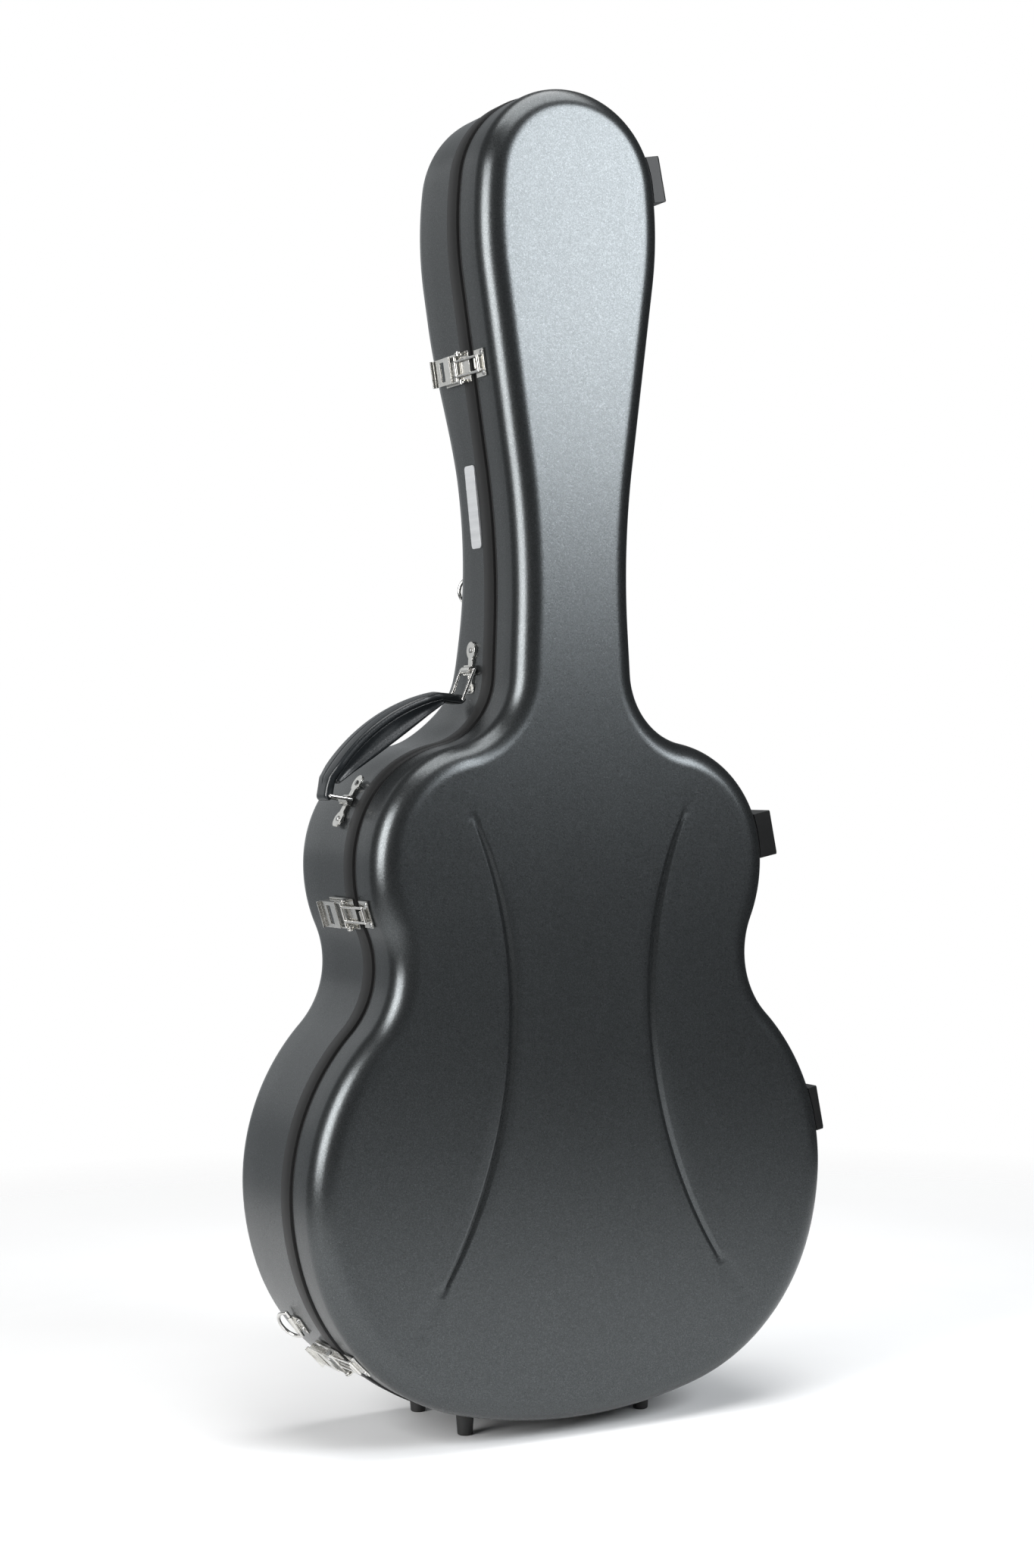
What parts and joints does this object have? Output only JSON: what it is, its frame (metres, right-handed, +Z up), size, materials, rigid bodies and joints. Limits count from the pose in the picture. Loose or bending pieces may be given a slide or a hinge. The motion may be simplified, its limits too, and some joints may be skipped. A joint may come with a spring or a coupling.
{
  "type": "guitar case",
  "caption": "Hard moulded guitar case with hinged lid, draw latches, arched carrying handle, strap rings and plush-lined, shaped inside.",
  "frame": {"origin": "on the ground, at the middle of the width and near the middle of the depth", "axes": "+Z up along the neck; +X towards the hinge side; -Y towards the lid"},
  "size_m": [0.5129, 0.171, 1.1575],
  "materials": {
    "shell": "fine-grained satin, metallic anthracite",
    "rim": "satin black",
    "seal": "matt black",
    "hinge": "gloss black",
    "plating": "bright nickel plate",
    "wire": "bright nickel-plated wire",
    "steel": "plated steel",
    "grip": "satin moulded skin",
    "foot": "matt black",
    "nameplate": "satin silver, blank",
    "plush": "short dark pile",
    "tray": "short dark pile over stiff board",
    "webbing": "narrow black webbing"
  },
  "bodies": {
    "base": {"base_shell": "shell", "base_rim": "rim", "rim_seal": "seal", "hinge_screws_base": "steel", "wall_rivets_base": "steel", "foot_screws": "steel", "nameplate": "nameplate", "base_lining_body": "plush", "base_lining_neck": "plush", "base_lining_head": "plush", "neck_cradle": "plush", "accessory_box": "tray", "accessory_hinge": "steel", "hinge_base_leaf_lower": "hinge", "hinge_base_leaf_middle": "hinge", "hinge_base_leaf_upper": "hinge", "hinge_pin_lower": "steel", "hinge_pin_middle": "steel", "hinge_pin_upper": "steel", "latch_plate_lower": "plating", "latch_plate_middle": "plating", "latch_plate_upper": "plating", "latch_pivots_lower": "steel", "latch_pivots_middle": "steel", "latch_pivots_upper": "steel", "handle_bracket_upper": "plating", "handle_bracket_lower": "plating", "strap_ring_plate_side": "plating", "strap_ring_plate_neck": "plating", "foot_front_left": "foot", "foot_front_right": "foot", "foot_back_left": "foot", "foot_back_right": "foot"},
    "lid": {"lid_shell": "shell", "lid_rim": "rim", "lid_lining": "plush", "hinge_screws_lid": "steel", "wall_rivets_lid": "steel", "hinge_lid_leaf_lower": "hinge", "hinge_lid_leaf_middle": "hinge", "hinge_lid_leaf_upper": "hinge", "latch_keeper_lower": "plating", "latch_keeper_middle": "plating", "latch_keeper_upper": "plating"},
    "latch_lever_lower": {"latch_lever_lower": "plating"},
    "latch_hook_lower": {"latch_hook_lower": "wire"},
    "latch_lever_middle": {"latch_lever_middle": "plating"},
    "latch_hook_middle": {"latch_hook_middle": "wire"},
    "latch_lever_upper": {"latch_lever_upper": "plating"},
    "latch_hook_upper": {"latch_hook_upper": "wire"},
    "handle_loop_lower": {"handle_loop_lower": "wire"},
    "handle_grip": {"handle_grip": "grip", "handle_pad": "grip"},
    "handle_loop_upper": {"handle_loop_upper": "wire"},
    "strap_ring_side": {"strap_ring_side": "wire"},
    "strap_ring_neck": {"strap_ring_neck": "wire"},
    "accessory_lid": {"accessory_lid": "tray", "accessory_pull": "webbing"}
  },
  "joints": [
    {"name": "lid_hinge", "type": "hinge", "parent": "base", "child": "lid", "pos_m": [0.252, -0.036, 0.262], "axis": [-0.189, 0, 0.982], "range_deg": [0, 110]},
    {"name": "latch_lever_lower", "type": "hinge", "parent": "base", "child": "latch_lever_lower", "pos_m": [-0.20427, -0.022, 0.07453], "axis": [-0.6882, 0, 0.7256], "range_deg": [0, 95]},
    {"name": "latch_hook_lower", "type": "hinge", "parent": "latch_lever_lower", "child": "latch_hook_lower", "pos_m": [-0.20361, -0.012, 0.07515], "axis": [-0.6882, 0, 0.7256], "range_deg": [-95, 0]},
    {"name": "latch_lever_middle", "type": "hinge", "parent": "base", "child": "latch_lever_middle", "pos_m": [-0.1928, -0.022, 0.45117], "axis": [-0.2818, 0, 0.9595], "range_deg": [0, 95]},
    {"name": "latch_hook_middle", "type": "hinge", "parent": "latch_lever_middle", "child": "latch_hook_middle", "pos_m": [-0.19194, -0.012, 0.45142], "axis": [-0.2818, 0, 0.9595], "range_deg": [-95, 0]},
    {"name": "latch_lever_upper", "type": "hinge", "parent": "base", "child": "latch_lever_upper", "pos_m": [-0.08102, -0.022, 0.91809], "axis": [-0.1392, 0, 0.9903], "range_deg": [0, 95]},
    {"name": "latch_hook_upper", "type": "hinge", "parent": "latch_lever_upper", "child": "latch_hook_upper", "pos_m": [-0.08013, -0.012, 0.91822], "axis": [-0.1392, 0, 0.9903], "range_deg": [-95, 0]},
    {"name": "handle_play", "type": "hinge", "parent": "base", "child": "handle_loop_lower", "pos_m": [-0.18074, 0.006, 0.5482], "axis": [0, 1, 0], "range_deg": [-8, 6]},
    {"name": "handle_grip_turn", "type": "hinge", "parent": "handle_loop_lower", "child": "handle_grip", "pos_m": [-0.2, 0.006, 0.5515], "axis": [0, 1, 0], "range_deg": [-4.8, 6.3]},
    {"name": "handle_upper_turn", "type": "hinge", "parent": "base", "child": "handle_loop_upper", "pos_m": [-0.06225, 0.006, 0.65922], "axis": [0, 1, 0], "range_deg": [-5.3, 7]},
    {"name": "strap_ring_side_swing", "type": "hinge", "parent": "base", "child": "strap_ring_side", "pos_m": [-0.21931, 0.037, 0.09817], "axis": [0.5728, 0, -0.8197], "range_deg": [-90, 15]},
    {"name": "strap_ring_neck_swing", "type": "hinge", "parent": "base", "child": "strap_ring_neck", "pos_m": [-0.0295, 0.04541, 0.73133], "axis": [0, -0.1037, 0.9946], "range_deg": [-90, 15]},
    {"name": "accessory_lid_hinge", "type": "hinge", "parent": "base", "child": "accessory_lid", "pos_m": [0, 0.0224, 0.5972], "axis": [1, 0, 0], "range_deg": [0, 85]}
  ],
  "couplings": [
    {"joint": "latch_hook_lower", "follows": "latch_lever_lower", "ratio": -1},
    {"joint": "latch_hook_middle", "follows": "latch_lever_middle", "ratio": -1},
    {"joint": "latch_hook_upper", "follows": "latch_lever_upper", "ratio": -1},
    {"joint": "handle_grip_turn", "follows": "handle_play", "ratio": -0.7688},
    {"joint": "handle_upper_turn", "follows": "handle_play", "ratio": -0.8557}
  ]
}
